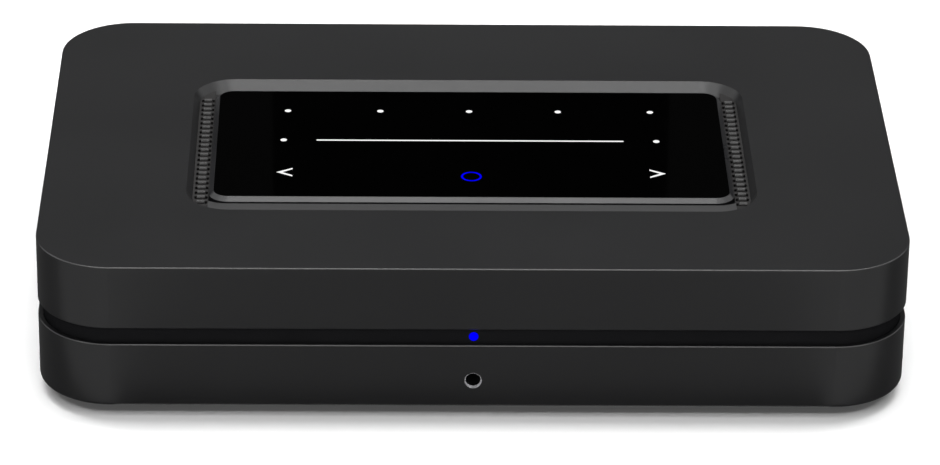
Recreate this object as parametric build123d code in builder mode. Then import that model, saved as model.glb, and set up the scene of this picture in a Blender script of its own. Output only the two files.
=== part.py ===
"""Desktop network music streamer: two moulded half shells round a dark recessed waist band, a touch glass
in a bevelled pocket of the top, vent grilles beside it, and a recessed connector panel at the back.

Millimetres. +Z is up, the front faces -Y, and the origin is under the middle of the feet."""

import os

from build123d import *

# Case
case_width = 220.0
case_depth = 146.0
corner_radius = 19.0
foot_drop = 3.8
lower_height = 17.55
groove_height = 4.5
upper_height = 17.15
wall = 2.2
top_edge_round = 0.3
seam_edge_break = 0.2
bottom_edge_round = 1.0
overrun = 1.0
fit_gap = 0.1
thread_gap = 0.02

# Waist band
band_inset = 1.3
band_thickness = 1.8
band_tongue = 2.4

# Pocket in the top, whose walls lean outward, and the shallow ramp between the grilles at its front
pocket_width = 142.1
pocket_depth = 73.3
pocket_shift = -2.05
pocket_radius = 8.9
pocket_lean = 2.15
pocket_sink = 3.0
pocket_floor_thickness = 2.0
ramp_run = 8.0
ramp_drop = 1.1
ramp_gap = 2.3
ribbon_slot_length = 20.0
ribbon_slot_width = 3.0
ribbon_slot_inset = 14.7

# Touch panel: bezel, glass and what lies under the glass
bezel_front_gap = 5.0
bezel_back_gap = 3.5
bezel_radius = 4.9
bezel_bevel = 1.2
bezel_lip = 0.15
glass_sink = 0.3
glass_thickness = 1.1
guide_thickness = 0.6
touch_board_thickness = 1.0

# Icons of the glass
icon_depth = 0.5
dot_radius = 0.85
preset_place_shares = (-0.356, -0.1745, 0, 0.1745, 0.356)
preset_height_share = 0.297
slider_height_share = 0.025
slider_length_share = 0.597
slider_width = 0.7
slider_dot_share = 0.362
arrow_share = 0.358
arrow_height_share = -0.268
arrow_length = 4.2
arrow_height = 5.0
arrow_stroke = 0.8
ring_height_share = -0.3
ring_radius = 2.7
ring_stroke = 0.55

# Vent grilles beside the panel
grille_width = 3.5
grille_thickness = 1.0
vent_rows = 23
vent_pitch_share = 0.03724
vent_slot_width = 0.65
vent_slot_length = 1.55
vent_outer_inset = 0.25
vent_inner_inset = 0.5
vent_rib_width = 2.0
vent_rib_radius = 0.8
vent_rib_inset = 0.6
vent_window_border = 0.2
vent_shift = -0.8

# Rear connector bay and panel
bay_end = 14.0
bay_recess = 9.0
bay_sill = 3.8
panel_thickness = 1.5
panel_rim = 1.4
panel_rim_setback = 0.4
cut_gap = 0.2

# Screws, posts and feet
boss_radius = 4.0
boss_inset_x = 13.0
boss_inset_y = 17.0
boss_top_gap = 12.1
case_screw_seat = 7.8
case_screw_head_radius = 2.8
case_screw_head_height = 2.2
case_screw_radius = 1.5
case_screw_length = 19.0
case_screw_gap = 0.2
boss_bore_gap = 0.4
boss_bore_depth = 8.5
post_radius = 3.0
standoff_height = 5.0
board_screw_radius = 1.2
board_screw_head_radius = 2.5
board_screw_head_height = 1.7
board_screw_length = 5.6
recess_turn = 0.5
foot_radius = 9.0
foot_inset_x = 25.0
foot_inset_y = 24.0
foot_seat = 0.6
foot_round = 0.9

# Boards
board_thickness = 1.6
board_rear_gap = 0.5
board_side_inset = 19.0
board_split = 3.0
power_board_width = 27.0
main_front_inset = 33.0
power_front_inset = 27.0
board_hole_inset = 4.5

# Sockets at the back, from left to right seen from behind
socket_row_end = 6.5
inlet_width = 20.5
inlet_height = 13.0
inlet_length = 20.0
inlet_mouth_width = 16.0
inlet_mouth_height = 8.6
inlet_mouth_depth = 13.0
inlet_pin_radius = 1.2
inlet_pin_length = 10.0
inlet_pin_pitch = 8.6
socket_proud = 0.3
usb_width = 13.2
usb_height = 5.8
usb_length = 14.0
usb_lift = 0.6
usb_tongue_width = 11.2
usb_tongue_height = 1.8
usb_tongue_length = 8.8
usb_tongue_rise = 1.1
lan_width = 16.0
lan_height = 13.6
lan_length = 21.0
lan_mouth_width = 11.9
lan_mouth_height = 6.8
lan_mouth_depth = 13.0
lan_mouth_lift = 1.9
lan_latch_width = 6.4
lan_latch_height = 1.9
lan_contact_count = 8
lan_contact_pitch = 1.02
lan_contact_width = 0.45
lan_contact_rise = 1.3
lan_contact_length = 8.0
hdmi_width = 14.9
hdmi_height = 5.5
hdmi_length = 12.0
hdmi_lift = 0.4
hdmi_slope = 1.7
hdmi_tongue_width = 11.4
hdmi_tongue_height = 1.2
hdmi_tongue_length = 8.0
shell_wall = 0.4
service_width = 7.8
service_height = 3.0
service_length = 6.0
service_tongue_width = 4.6
service_tongue_height = 0.7
service_tongue_length = 4.0
jack_width = 9.0
jack_height = 8.4
jack_length = 12.0
jack_nose_radius = 3.0
jack_nose_proud = 0.6
jack_bore_radius = 1.8
jack_bore_depth = 14.0
optical_width = 10.6
optical_height = 10.8
optical_length = 14.0
optical_mouth_width = 8.3
optical_mouth_height = 8.7
optical_mouth_depth = 9.6
optical_mouth_lift = 1.2
shutter_setback = 1.0
shutter_drop = 0.75
shutter_thickness = 0.7
shutter_side_gap = 0.15
shutter_barrel_radius = 0.5
shutter_pin_radius = 0.35
shutter_pin_length = 0.55
shutter_pin_gap = 0.05
rca_low_rise = 6.6
rca_pitch = 13.0
rca_block_width = 13.0
rca_block_height = 25.8
rca_block_length = 11.4
rca_barrel_radius = 4.15
rca_barrel_wall = 0.75
rca_barrel_length = 7.5
rca_collar_radius = 5.2
rca_collar_length = 3.0
rca_core_setback = 0.5
rca_bore_radius = 1.65
rca_bore_depth = 8.5
block_gap = 0.2
panel_screw_radius = 1.2
panel_screw_head_radius = 2.3
panel_screw_head_height = 1.3
panel_screw_length = 6.0
panel_screw_shift = 4.4

# Front board with the headphone jack, the status light and the infrared receiver
headphone_rise = 7.6
bush_radius = 2.15
bush_mouth_radius = 2.1
bush_bore_radius = 1.8
bush_mouth_depth = 1.0
front_board_half_width = 16.0
front_board_height = 21.0
front_board_thickness = 1.2
front_board_setback = 15.0
light_rise = 2.0
light_radius = 1.2
light_proud = 0.15
led_width = 4.0
led_height = 3.0
led_depth = 2.0
receiver_x = 9.0
receiver_width = 6.0
receiver_height = 6.5
receiver_depth = 3.5

# Parts on the main board, placed by shares of its half length and half depth
sink_place_share = (-0.04, -0.25)
sink_side = 40.0
sink_base = 3.0
sink_fin_count = 9
sink_fin_height = 7.0
sink_fin_thickness = 1.3
processor_side = 17.0
chip_height = 1.6
chip_side = 8.0
chip_place_shares = ((-0.47, -0.3), (-0.42, -0.76), (0.41, -0.64), (0.51, -0.14), (0.74, -0.6), (0.78, 0.06))
shield_place_share = (-0.724, -0.647)
shield_width = 24.0
shield_depth = 17.0
shield_height = 2.6
shield_round = 0.6
audio_cap_radius = 3.15
audio_cap_height = 11.0
audio_cap_pitch = 8.5
audio_cap_columns = 4
audio_cap_rows = 2
audio_cap_place_share = (-0.776, 0.45)
header_width = 17.0
header_depth = 5.0
header_height = 3.0

# Parts on the power board, placed by shares of its half depth
transformer_place_share = -0.185
transformer_shift = 1.5
transformer_width = 18.0
transformer_depth = 22.0
transformer_height = 17.0
transformer_yoke = 4.0
winding_radius = 6.6
winding_reach = 9.0
bulk_place_share = -0.741
bulk_radius = 8.0
bulk_height = 19.0
film_place_share = 0.45
film_width = 13.0
film_depth = 5.0
film_height = 12.0
choke_place_share = 0.24
choke_radius = 5.0
choke_hole_radius = 2.2
choke_length = 8.0
fuse_x_offset = 9.5
fuse_length = 9.0
fuse_radius = 2.6
heat_plate_height = 17.0
heat_plate_thickness = 1.6
heat_plate_length = 18.0
heat_plate_place_share = 0.22
wire_radius = 0.7
wire_count = 4
wire_pitch = 2.0
wire_reach = 8.5
wire_rise = 6.0
wire_bend = 3.0
wire_place_share = -0.5
plug_width = 9.5
plug_depth = 5.0
plug_height = 5.5

# Ribbon and aerials
ribbon_width = 16.0
ribbon_thickness = 0.3
ribbon_bend = 3.0
ribbon_drop = 5.0
aerial_length = 34.0
aerial_height = 8.0
aerial_thickness = 0.8
aerial_lift = 2.5
lead_radius = 0.57
lead_bend = 3.0
lead_rise = 1.6
lead_detour = 6.0

# Levels and faces that follow from the sizes above
half_width = case_width / 2
half_depth = case_depth / 2
lower_bottom = foot_drop
lower_top = lower_bottom + lower_height
upper_bottom = lower_top + groove_height
top = upper_bottom + upper_height
floor_top = lower_bottom + wall
ceiling = top - wall
pocket_floor = top - pocket_sink
bay_half_width = half_width - bay_end
bezel_width = pocket_width - 2 * (grille_width + fit_gap)
bezel_depth = pocket_depth - bezel_front_gap - bezel_back_gap
bezel_y = pocket_shift + (bezel_front_gap - bezel_back_gap) / 2
preset_x = [share * bezel_width for share in preset_place_shares]
preset_y = bezel_y + preset_height_share * bezel_depth
slider_y = bezel_y + slider_height_share * bezel_depth
slider_length = slider_length_share * bezel_width
slider_dot_x = slider_dot_share * bezel_width
arrow_x = arrow_share * bezel_width
arrow_y = bezel_y + arrow_height_share * bezel_depth
ring_y = bezel_y + ring_height_share * bezel_depth
vent_pitch = vent_pitch_share * pocket_depth
vent_y = pocket_shift + vent_shift
pocket_back = pocket_shift + pocket_depth / 2
pocket_front = pocket_shift - pocket_depth / 2
ribbon_slot_y = pocket_front + ribbon_slot_inset
glass_top = top - glass_sink
glass_bottom = glass_top - glass_thickness
guide_bottom = glass_bottom - guide_thickness
boss_x = half_width - boss_inset_x
boss_y = half_depth - boss_inset_y
boss_spots = [(x, y) for x in (-boss_x, boss_x) for y in (-boss_y, boss_y)]
boss_seam = lower_bottom + case_screw_seat + boss_top_gap
screw_seat = lower_bottom + case_screw_seat
foot_x = half_width - foot_inset_x
foot_y = half_depth - foot_inset_y
foot_spots = [(x, y) for x in (-foot_x, foot_x) for y in (-foot_y, foot_y)]
vent_row_y = [vent_y + (n - (vent_rows - 1) / 2) * vent_pitch for n in range(vent_rows)]
panel_face = half_depth - bay_recess
panel_back = panel_face - panel_thickness
bay_bottom = lower_bottom + bay_sill
bay_top = top - bay_sill
board_bottom = floor_top + standoff_height
board_top = board_bottom + board_thickness
board_rear = panel_back - board_rear_gap
main_left = -half_width + board_side_inset
power_right = half_width - board_side_inset
power_left = power_right - power_board_width
main_right = power_left - board_split
main_front = -half_depth + main_front_inset
power_front = -half_depth + power_front_inset
main_middle = ((main_left + main_right) / 2, (main_front + board_rear) / 2)
main_half = ((main_right - main_left) / 2, (board_rear - main_front) / 2)
power_middle_y = (power_front + board_rear) / 2
power_half_y = (board_rear - power_front) / 2
shield_x = main_middle[0] + shield_place_share[0] * main_half[0]
shield_y = main_middle[1] + shield_place_share[1] * main_half[1]
wire_y = power_middle_y + wire_place_share * power_half_y
socket_face = panel_face + socket_proud
block_face = panel_back - block_gap
band_face = half_depth - band_inset
light_z = lower_top + light_rise
headphone_z = lower_bottom + headphone_rise
front_board_face = -half_depth + front_board_setback
jack_names = ("infrared_jack", "trigger_jack", "line_in_jack")
socket_widths = {
    "analogue_rca": rca_block_width,
    "digital_rca": rca_block_width,
    "optical": optical_width,
    "line_in_jack": jack_width,
    "trigger_jack": jack_width,
    "infrared_jack": jack_width,
    "service": service_width,
    "hdmi": hdmi_width,
    "lan": lan_width,
    "usb": usb_width,
    "inlet": inlet_width,
}
socket_row = 2 * (bay_half_width - socket_row_end)
socket_gap = (socket_row - sum(socket_widths.values())) / (len(socket_widths) - 1)
socket_x = {}
row_reach = -socket_row / 2
for socket_name, socket_width in socket_widths.items():
    socket_x[socket_name] = row_reach + socket_width / 2
    row_reach += socket_width + socket_gap
inlet_x = socket_x["inlet"]
usb_x = socket_x["usb"]
lan_x = socket_x["lan"]
hdmi_x = socket_x["hdmi"]
service_x = socket_x["service"]
optical_x = socket_x["optical"]
digital_rca_x = socket_x["digital_rca"]
analogue_rca_x = socket_x["analogue_rca"]
jack_z = board_top + jack_height / 2
rca_low_z = board_top + rca_low_rise
rca_high_z = rca_low_z + rca_pitch
rca_places = {
    "left_out": (analogue_rca_x, rca_high_z),
    "right_out": (analogue_rca_x, rca_low_z),
    "coaxial_out": (digital_rca_x, rca_high_z),
    "subwoofer_out": (digital_rca_x, rca_low_z),
}
optical_floor = board_top + optical_mouth_lift
optical_roof = optical_floor + optical_mouth_height
hinge_y = socket_face - shutter_setback
hinge_z = optical_roof - shutter_drop
main_holes = [
    (x, y)
    for x in (main_left + board_hole_inset, main_right - board_hole_inset)
    for y in (main_front + board_hole_inset, board_rear - inlet_length - board_hole_inset)
]
power_holes = [
    (x, y)
    for x in (power_left + board_hole_inset, power_right - board_hole_inset)
    for y in (power_front + board_hole_inset, board_rear - inlet_length - board_hole_inset)
]
power_x = (power_left + power_right) / 2
harness_plug_x = (main_right - plug_depth / 2, main_right - plug_depth / 2 + wire_reach)
sink_x = main_middle[0] + sink_place_share[0] * main_half[0]
sink_y = main_middle[1] + sink_place_share[1] * main_half[1]
ribbon_end_y = (main_front + sink_y - sink_side / 2) / 2


def slab(x_span, y_span, z_span, mode=Mode.ADD):
    """A box between two corners, in the part that is being built."""
    with BuildSketch(Plane.XY.offset(z_span[0])) as outline:
        with Locations(((x_span[0] + x_span[1]) / 2, (y_span[0] + y_span[1]) / 2)):
            Rectangle(x_span[1] - x_span[0], y_span[1] - y_span[0])
    extrude(outline.sketch, amount=z_span[1] - z_span[0], mode=mode)


def round_slab(size, radius, z_span, y=0, mode=Mode.ADD):
    """An upright block with rounded corners, centred on x = 0."""
    with BuildSketch(Plane.XY.offset(z_span[0])) as outline:
        with Locations((0, y)):
            RectangleRounded(size[0], size[1], radius)
    extrude(outline.sketch, amount=z_span[1] - z_span[0], mode=mode)


def post(spots, radius, z_span, mode=Mode.ADD):
    """Upright cylinders at each spot of the plan."""
    with BuildSketch(Plane.XY.offset(z_span[0])) as outline:
        with Locations(*spots):
            Circle(radius)
    extrude(outline.sketch, amount=z_span[1] - z_span[0], mode=mode)


def rod(spots, radius, y_span, mode=Mode.ADD):
    """Cylinders along Y, at each (x, z) spot of the front view."""
    with BuildSketch(Plane.XZ.offset(-y_span[1])) as outline:
        with Locations(*spots):
            Circle(radius)
    extrude(outline.sketch, amount=y_span[1] - y_span[0], mode=mode)


def block(x, z, size, y_span, mode=Mode.ADD):
    """A box along Y, centred on (x, z) of the front view."""
    with BuildSketch(Plane.XZ.offset(-y_span[1])) as outline:
        with Locations((x, z)):
            Rectangle(*size)
    extrude(outline.sketch, amount=y_span[1] - y_span[0], mode=mode)


def save(piece, label):
    """Labels a finished piece and writes its file."""
    piece.part.label = label
    export_step(piece.part, f"parts/{label}.step")


def make_pocket_room(gap):
    """The room inside the pocket, narrower by a gap all round."""
    with BuildPart() as room:
        for reach, level in ((0, pocket_floor), (pocket_lean, top)):
            with BuildSketch(Plane.XY.offset(level)):
                with Locations((0, pocket_shift)):
                    RectangleRounded(
                        pocket_width + 2 * (reach - gap),
                        pocket_depth + 2 * (reach - gap),
                        pocket_radius + reach - gap,
                    )
        loft(ruled=True)
    return room.part


def make_ramp():
    """The shallow ramp in front of the bezel, which stands in the pocket between the grilles."""
    mouth_front = pocket_front - pocket_lean
    with BuildPart() as ramp:
        with BuildSketch(Plane.YZ.offset(-bezel_width / 2)):
            with BuildLine():
                Polyline(
                    (mouth_front, pocket_floor),
                    (mouth_front, top),
                    (mouth_front + ramp_run, top - ramp_drop),
                    (mouth_front + ramp_run, pocket_floor),
                    close=True,
                )
            make_face()
        extrude(amount=bezel_width)
        round_slab(
            (bezel_width + 2 * ramp_gap, bezel_depth + 2 * ramp_gap),
            bezel_radius + ramp_gap,
            (pocket_floor, top),
            y=bezel_y,
            mode=Mode.SUBTRACT,
        )
    return ramp.part


def cut_seam_rebate(z_span):
    """Room for the waist band's tongue behind a shell's outer lip."""
    lip = band_inset - fit_gap
    round_slab((case_width - 2 * lip, case_depth - 2 * lip), corner_radius - lip, z_span, mode=Mode.SUBTRACT)


def cut_rear_bay(z_span):
    """The opening in a shell's back wall that the rear panel fills."""
    slab(
        (-bay_half_width, bay_half_width),
        (half_depth - wall - overrun, half_depth + overrun),
        z_span,
        mode=Mode.SUBTRACT,
    )


def make_top_shell():
    with BuildPart() as shell:
        round_slab((case_width, case_depth), corner_radius, (upper_bottom, top))
        fillet(shell.edges().group_by(Axis.Z)[-1], top_edge_round)
        chamfer(shell.edges().group_by(Axis.Z)[0], seam_edge_break)
        round_slab(
            (case_width - 2 * wall, case_depth - 2 * wall),
            corner_radius - wall,
            (upper_bottom, ceiling),
            mode=Mode.SUBTRACT,
        )
        cut_seam_rebate((upper_bottom, upper_bottom + band_tongue + fit_gap))
        round_slab(
            (pocket_width + 2 * pocket_lean + wall, pocket_depth + 2 * pocket_lean + wall),
            pocket_radius + wall,
            (pocket_floor - pocket_floor_thickness, ceiling),
            y=pocket_shift,
        )
        add(make_pocket_room(0), mode=Mode.SUBTRACT)
        add(make_ramp())
        for side in (-1, 1):
            window_outer = side * (pocket_width / 2 - vent_window_border)
            window_inner = side * (pocket_width / 2 - grille_width + vent_window_border)
            slab(
                sorted((window_outer, window_inner)),
                (vent_row_y[0] - vent_slot_length / 2, vent_row_y[-1] + vent_slot_length / 2),
                (pocket_floor - pocket_floor_thickness, pocket_floor),
                mode=Mode.SUBTRACT,
            )
        slab(
            (-ribbon_slot_length / 2, ribbon_slot_length / 2),
            (ribbon_slot_y - ribbon_slot_width / 2, ribbon_slot_y + ribbon_slot_width / 2),
            (pocket_floor - pocket_floor_thickness, pocket_floor),
            mode=Mode.SUBTRACT,
        )
        post(boss_spots, boss_radius, (boss_seam, ceiling))
        thread_span = (boss_seam, boss_seam + boss_bore_depth)
        post(boss_spots, case_screw_radius + thread_gap, thread_span, mode=Mode.SUBTRACT)
        cut_rear_bay((upper_bottom - overrun, bay_top))
    save(shell, "top_shell")


def make_bottom_shell():
    with BuildPart() as shell:
        round_slab((case_width, case_depth), corner_radius, (lower_bottom, lower_top))
        chamfer(shell.edges().group_by(Axis.Z)[-1], seam_edge_break)
        fillet(shell.edges().group_by(Axis.Z)[0], bottom_edge_round)
        round_slab(
            (case_width - 2 * wall, case_depth - 2 * wall),
            corner_radius - wall,
            (floor_top, lower_top),
            mode=Mode.SUBTRACT,
        )
        cut_seam_rebate((lower_top - band_tongue - fit_gap, lower_top))
        post(boss_spots, boss_radius, (floor_top, boss_seam))
        post(boss_spots, case_screw_radius + case_screw_gap, (screw_seat, boss_seam), mode=Mode.SUBTRACT)
        well_radius = case_screw_head_radius + boss_bore_gap
        post(boss_spots, well_radius, (lower_bottom, screw_seat), mode=Mode.SUBTRACT)
        post(main_holes + power_holes, post_radius, (floor_top, board_bottom))
        thread_radius = board_screw_radius + thread_gap
        post(main_holes + power_holes, thread_radius, (floor_top, board_bottom), mode=Mode.SUBTRACT)
        post(foot_spots, foot_radius + fit_gap, (lower_bottom, lower_bottom + foot_seat), mode=Mode.SUBTRACT)
        rod(
            [(0, headphone_z)],
            bush_radius + thread_gap,
            (-half_depth - overrun, -half_depth + wall + overrun),
            Mode.SUBTRACT,
        )
        cut_rear_bay((bay_bottom, lower_top + overrun))
    save(shell, "bottom_shell")


def make_waist_band():
    outer = corner_radius - band_inset
    with BuildPart() as band:
        z_span = (lower_top - band_tongue, upper_bottom + band_tongue)
        round_slab((case_width - 2 * band_inset, case_depth - 2 * band_inset), outer, z_span)
        inner = band_inset + band_thickness
        round_slab(
            (case_width - 2 * inner, case_depth - 2 * inner),
            outer - band_thickness,
            z_span,
            mode=Mode.SUBTRACT,
        )
        slab(
            (-bay_half_width - fit_gap, bay_half_width + fit_gap),
            (half_depth - wall - overrun - band_thickness, half_depth),
            z_span,
            mode=Mode.SUBTRACT,
        )
        rod([(0, light_z)], light_radius, (-half_depth, -half_depth + inner + overrun), mode=Mode.SUBTRACT)
    save(band, "waist_band")


def make_feet():
    with BuildPart() as feet:
        post(foot_spots, foot_radius, (0, lower_bottom + foot_seat))
        fillet(feet.edges().group_by(Axis.Z)[0], foot_round)
    save(feet, "feet")


def make_case_screws():
    with BuildPart() as screws:
        post(boss_spots, case_screw_head_radius, (screw_seat - case_screw_head_height, screw_seat))
        post(boss_spots, case_screw_radius, (screw_seat, screw_seat + case_screw_length))
        with BuildSketch(Plane.XY.offset(screw_seat - case_screw_head_height)):
            with Locations(*boss_spots):
                RegularPolygon(case_screw_radius, 6)
        extrude(amount=case_screw_head_height / 2, mode=Mode.SUBTRACT)
    save(screws, "case_screws")


def make_board_screws():
    spots = main_holes + power_holes
    head_top = board_top + board_screw_head_height
    with BuildPart() as screws:
        post(spots, board_screw_head_radius, (board_top, head_top))
        fillet(screws.edges().group_by(Axis.Z)[-1], recess_turn)
        post(spots, board_screw_radius, (board_top - board_screw_length, board_top))
        for turn in (0, 90):
            with BuildSketch(Plane.XY.offset(head_top)) as cross:
                with Locations(*spots):
                    Rectangle(board_screw_head_radius, recess_turn, rotation=turn)
            extrude(cross.sketch, amount=-board_screw_head_height / 2, mode=Mode.SUBTRACT)
    save(screws, "board_screws")


def make_panel_bezel():
    with BuildPart() as bezel:
        round_slab((bezel_width, bezel_depth), bezel_radius, (pocket_floor, glass_top), y=bezel_y)
        chamfer(bezel.edges().group_by(Axis.Z)[-1], bezel_bevel - bezel_lip)
        inner = bezel_bevel
        round_slab(
            (bezel_width - 2 * inner, bezel_depth - 2 * inner),
            bezel_radius - inner,
            (pocket_floor, glass_top),
            y=bezel_y,
            mode=Mode.SUBTRACT,
        )
    save(bezel, "panel_bezel")


def panel_layer(border, z_span):
    """A sheet that lies inside the bezel."""
    inset = bezel_bevel + border
    round_slab(
        (bezel_width - 2 * inset, bezel_depth - 2 * inset), bezel_radius - inset, z_span, y=bezel_y
    )


def draw_icons(height, mode=Mode.ADD):
    """The white marks of the glass: preset dots, slider line with its end dots, and two arrows."""
    with BuildSketch(Plane.XY.offset(glass_top)) as marks:
        with Locations(*[(x, preset_y) for x in preset_x]):
            Circle(dot_radius)
        with Locations(*[(side * slider_dot_x, slider_y) for side in (-1, 1)]):
            Circle(dot_radius)
        with Locations((0, slider_y)):
            SlotOverall(slider_length, slider_width)
        for side in (-1, 1):
            tip = (side * (arrow_x + arrow_length / 2), arrow_y)
            tail_x = side * (arrow_x - arrow_length / 2)
            with BuildLine() as chevron:
                Polyline(
                    (tail_x, tip[1] + arrow_height / 2),
                    tip,
                    (tail_x, tip[1] - arrow_height / 2),
                    (tail_x, tip[1] - arrow_height / 2 + arrow_stroke),
                    (tip[0] - side * arrow_stroke * 2, tip[1]),
                    (tail_x, tip[1] + arrow_height / 2 - arrow_stroke),
                    close=True,
                )
            add(make_face(chevron.edges(), mode=Mode.PRIVATE))
    extrude(marks.sketch, amount=-height, mode=mode)


def draw_ring(height, mode=Mode.ADD):
    """The blue play ring of the glass."""
    with BuildSketch(Plane.XY.offset(glass_top)) as ring:
        with Locations((0, ring_y)):
            Circle(ring_radius)
            Circle(ring_radius - ring_stroke, mode=Mode.SUBTRACT)
    extrude(ring.sketch, amount=-height, mode=mode)


def make_touch_panel():
    with BuildPart() as glass:
        panel_layer(fit_gap / 2, (glass_bottom, glass_top))
        draw_icons(icon_depth, mode=Mode.SUBTRACT)
        draw_ring(icon_depth, mode=Mode.SUBTRACT)
    save(glass, "touch_glass")
    with BuildPart() as icons:
        draw_icons(icon_depth)
    save(icons, "panel_icons")
    with BuildPart() as ring:
        draw_ring(icon_depth)
    save(ring, "play_ring")
    with BuildPart() as guide:
        panel_layer(fit_gap, (guide_bottom, glass_bottom))
    save(guide, "light_guide")
    with BuildPart() as board:
        panel_layer(fit_gap, (guide_bottom - touch_board_thickness, guide_bottom))
    save(board, "touch_board")


def make_vent_grille(label, side):
    outer = side * (pocket_width / 2)
    inner = side * (pocket_width / 2 - grille_width)
    rib_x = side * (pocket_width / 2 - vent_rib_inset - vent_rib_width / 2)
    deck = pocket_floor + grille_thickness
    with BuildPart() as grille:
        rim = outer + side * pocket_lean
        slab(
            sorted((rim, inner)),
            (pocket_front - pocket_lean, pocket_back + pocket_lean),
            (pocket_floor, deck),
        )
        with BuildSketch(Plane.XY.offset(deck)) as slots:
            with Locations(*[(outer - side * vent_outer_inset, y) for y in vent_row_y[1:]]):
                SlotOverall(vent_slot_length, vent_slot_width, rotation=90)
            with Locations(*[(inner + side * vent_inner_inset, y) for y in vent_row_y]):
                SlotOverall(vent_slot_length, vent_slot_width, rotation=90)
        extrude(slots.sketch, amount=-grille_thickness, mode=Mode.SUBTRACT)
        with BuildSketch(Plane.YZ.offset(rib_x - vent_rib_width / 2)) as ribs:
            with Locations(*[(y, deck) for y in vent_row_y]):
                Circle(vent_rib_radius)
            with Locations((pocket_shift, deck - grille_thickness)):
                Rectangle(pocket_depth, 2 * grille_thickness, mode=Mode.SUBTRACT)
        extrude(ribs.sketch, amount=vent_rib_width)
        add(make_pocket_room(fit_gap), mode=Mode.INTERSECT)
    save(grille, label)


def make_rear_panel():
    cut = 2 * cut_gap
    with BuildPart() as panel:
        x_span = (-bay_half_width + fit_gap, bay_half_width - fit_gap)
        z_span = (bay_bottom + fit_gap, bay_top - fit_gap)
        slab(x_span, (panel_back, half_depth - panel_rim_setback), z_span)
        slab(
            (x_span[0] + panel_rim, x_span[1] - panel_rim),
            (panel_face, half_depth),
            (z_span[0] + panel_rim, z_span[1] - panel_rim),
            mode=Mode.SUBTRACT,
        )
        holes = (panel_back - overrun, half_depth)
        inlet_z = board_top + inlet_height / 2
        block(inlet_x, inlet_z, (inlet_width + cut, inlet_height + cut), holes, Mode.SUBTRACT)
        block(usb_x, usb_z, (usb_width + cut, usb_height + cut), holes, Mode.SUBTRACT)
        block(lan_x, board_top + lan_height / 2, (lan_width + cut, lan_height + cut), holes, Mode.SUBTRACT)
        block(hdmi_x, hdmi_z, (hdmi_width + cut, hdmi_height + cut), holes, Mode.SUBTRACT)
        block(service_x, service_z, (service_width + cut, service_height + cut), holes, Mode.SUBTRACT)
        optical_z = board_top + optical_height / 2
        block(optical_x, optical_z, (optical_width + cut, optical_height + cut), holes, Mode.SUBTRACT)
        jack_spots = [(socket_x[name], jack_z) for name in jack_names]
        rod(jack_spots, jack_nose_radius + cut_gap, holes, Mode.SUBTRACT)
        rod(list(rca_places.values()), rca_collar_radius + cut_gap, holes, Mode.SUBTRACT)
        rod(panel_screw_spots, panel_screw_radius + cut_gap, holes, Mode.SUBTRACT)
    save(panel, "rear_panel")


usb_z = board_top + usb_lift + usb_height / 2
hdmi_z = board_top + hdmi_lift + hdmi_height / 2
service_z = board_top + service_height / 2
rca_middle_z = (rca_low_z + rca_high_z) / 2
panel_screw_spots = [
    (digital_rca_x - panel_screw_shift, rca_middle_z),
    (analogue_rca_x + panel_screw_shift, rca_middle_z),
]


def make_panel_screws():
    with BuildPart() as screws:
        rod(panel_screw_spots, panel_screw_head_radius, (panel_face, panel_face + panel_screw_head_height))
        fillet(screws.edges().group_by(Axis.Y)[-1], recess_turn)
        rod(panel_screw_spots, panel_screw_radius, (panel_face - panel_screw_length, panel_face))
        for slot_size in ((panel_screw_head_radius, recess_turn), (recess_turn, panel_screw_head_radius)):
            for x, z in panel_screw_spots:
                head_end = panel_face + panel_screw_head_height
                block(x, z, slot_size, (head_end - panel_screw_head_height / 2, head_end), Mode.SUBTRACT)
    save(screws, "panel_screws")


def make_power_inlet():
    z = board_top + inlet_height / 2
    back = socket_face - inlet_mouth_depth
    pins = [(inlet_x + side * inlet_pin_pitch / 2, z) for side in (-1, 1)]
    with BuildPart() as inlet:
        block(inlet_x, z, (inlet_width, inlet_height), (socket_face - inlet_length, socket_face))
        with BuildSketch(Plane.XZ.offset(-socket_face)) as mouth:
            with Locations((inlet_x, z)):
                SlotOverall(inlet_mouth_width, inlet_mouth_height)
        extrude(mouth.sketch, amount=inlet_mouth_depth, mode=Mode.SUBTRACT)
        rod(pins, inlet_pin_radius + thread_gap, (back - inlet_pin_radius, back), Mode.SUBTRACT)
    save(inlet, "power_inlet")
    with BuildPart() as prongs:
        rod(pins, inlet_pin_radius, (back - inlet_pin_radius, back + inlet_pin_length))
        fillet(prongs.edges().group_by(Axis.Y)[-1], inlet_pin_radius / 2)
    save(prongs, "inlet_pins")


def make_flat_socket(label, x, z, size, length):
    """A folded metal receptacle with a rectangular mouth."""
    with BuildPart() as socket:
        block(x, z, size, (socket_face - length, socket_face))
        inside = (size[0] - 2 * shell_wall, size[1] - 2 * shell_wall)
        block(x, z, inside, (socket_face - length + 2 * shell_wall, socket_face), Mode.SUBTRACT)
        chamfer(socket.edges().filter_by(Axis.Y), shell_wall / 2)
    save(socket, label)


def hdmi_outline(width, height, slope):
    """Half-hexagon mouth: full width above, drawn in at the bottom corners."""
    left, right = hdmi_x - width / 2, hdmi_x + width / 2
    low, high = hdmi_z - height / 2, hdmi_z + height / 2
    Polyline(
        (left, high),
        (right, high),
        (right, low + slope),
        (right - slope, low),
        (left + slope, low),
        (left, low + slope),
        close=True,
    )


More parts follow.
